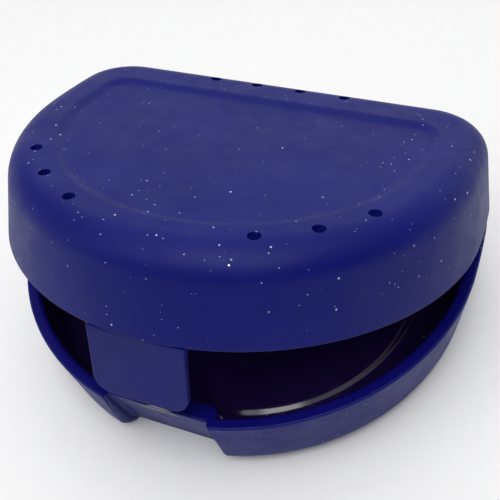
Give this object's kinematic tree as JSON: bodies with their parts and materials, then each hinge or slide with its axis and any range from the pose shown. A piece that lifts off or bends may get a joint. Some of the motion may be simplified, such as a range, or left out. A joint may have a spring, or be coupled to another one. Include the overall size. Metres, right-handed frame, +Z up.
{
  "type": "retainer case",
  "caption": "D-shaped plastic box for a dental retainer, with a vented lid on pinned hinges, a springy front latch tab and a finger recess under it.",
  "frame": {"origin": "centre of the base's flat underside, halfway along the case's outline from front to back", "axes": "+Z up, X along the hinge, the rounded front and the latch tab face -Y"},
  "size_m": [0.083, 0.0676, 0.0456],
  "materials": {
    "base_plastic": "satin outside, glossy on the rim and inside, with sparse glitter",
    "lid_plastic": "satin outside, glossy inside, with sparse glitter",
    "tab_plastic": "satin",
    "pin_steel": "bright"
  },
  "bodies": {
    "base": {"base_shell": "base_plastic", "hinge_pin_left": "pin_steel", "hinge_pin_right": "pin_steel"},
    "lid": {"lid_shell": "lid_plastic"},
    "tab": {"latch_tab": "tab_plastic"}
  },
  "joints": [
    {"name": "lid_hinge", "type": "hinge", "parent": "base", "child": "lid", "pos_m": [0, 0.0326, 0.01505], "axis": [-1, 0, 0], "range_deg": [-16, 159]},
    {"name": "tab_flex", "type": "hinge", "parent": "lid", "child": "tab", "pos_m": [0, -0.02864, 0.03266], "axis": [-1, 0, 0], "range_deg": [0, 10], "stiffness_Nm_per_rad": 0.15}
  ]
}
